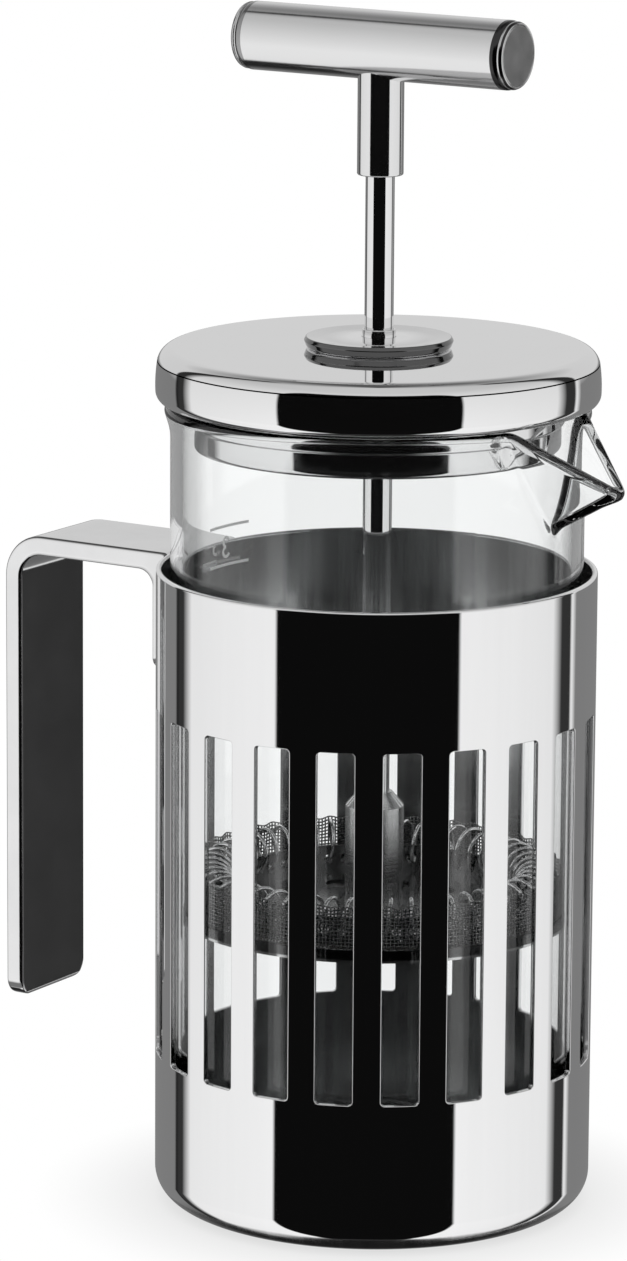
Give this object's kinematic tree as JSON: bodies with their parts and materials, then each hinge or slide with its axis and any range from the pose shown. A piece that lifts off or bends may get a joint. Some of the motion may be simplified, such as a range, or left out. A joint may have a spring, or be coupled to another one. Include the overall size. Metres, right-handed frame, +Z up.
{
  "type": "french press",
  "caption": "Small french press: glass beaker with a pouring lip in a slotted polished-steel cage with a square strap handle, steel lid, and a T-handled plunger with a mesh filter.",
  "frame": {"origin": "on the table, at the centre of the cage's flat base", "axes": "+Z up along the beaker, rod and lid; +X towards the pouring lip; -X towards the handle"},
  "size_m": [0.1183, 0.0752, 0.2045],
  "materials": {
    "polished_steel": "mirror-polished stainless steel, bright inside of the cage slightly satin",
    "handle_steel": "mirror-polished stainless strap with softened edges",
    "bar_steel": "polished tube with a fine drawn grain",
    "cap_steel": "turned, satin end face",
    "pan_steel": "pressed bright stainless sheet",
    "filter_steel": "bright-rolled stainless sheet",
    "filter_mesh": "fine woven stainless wire cloth",
    "coil_wire": "drawn stainless spring wire",
    "clear_glass": "clear borosilicate glass, fire-polished rim",
    "bush_steel": "turned and polished stainless"
  },
  "bodies": {
    "stand": {"cage": "polished_steel", "handle_strap": "handle_steel"},
    "beaker": {"beaker": "clear_glass"},
    "lid": {"lid_cap": "polished_steel", "lid_boss": "polished_steel", "lid_pan": "pan_steel"},
    "bush": {"guide_bush": "bush_steel", "bush_retainer": "filter_steel"},
    "plunger": {"plunger_rod": "polished_steel", "knob_stem": "bar_steel", "crossbar_tube": "bar_steel", "crossbar_cap_front": "cap_steel", "crossbar_cap_rear": "cap_steel", "hub_sleeve": "filter_steel", "spring_plate": "filter_steel", "coil_spring": "coil_wire", "mesh_screen": "filter_mesh", "lower_plate": "filter_steel", "lock_washer": "filter_steel", "clamp_nut": "filter_steel"}
  },
  "joints": [
    {"name": "beaker_lift", "type": "slide", "parent": "stand", "child": "beaker", "axis": [0, 0, 1], "range_m": [0, 0.112]},
    {"name": "lid_lift", "type": "slide", "parent": "beaker", "child": "lid", "axis": [0, 0, 1], "range_m": [0, 0.1]},
    {"name": "plunger_turn", "type": "hinge", "parent": "lid", "child": "bush", "pos_m": [0, 0, 0.14], "axis": [0, 0, 1], "continuous": true},
    {"name": "plunger_slide", "type": "slide", "parent": "bush", "child": "plunger", "axis": [0, 0, 1], "range_m": [-0.0259, 0.0577]}
  ]
}
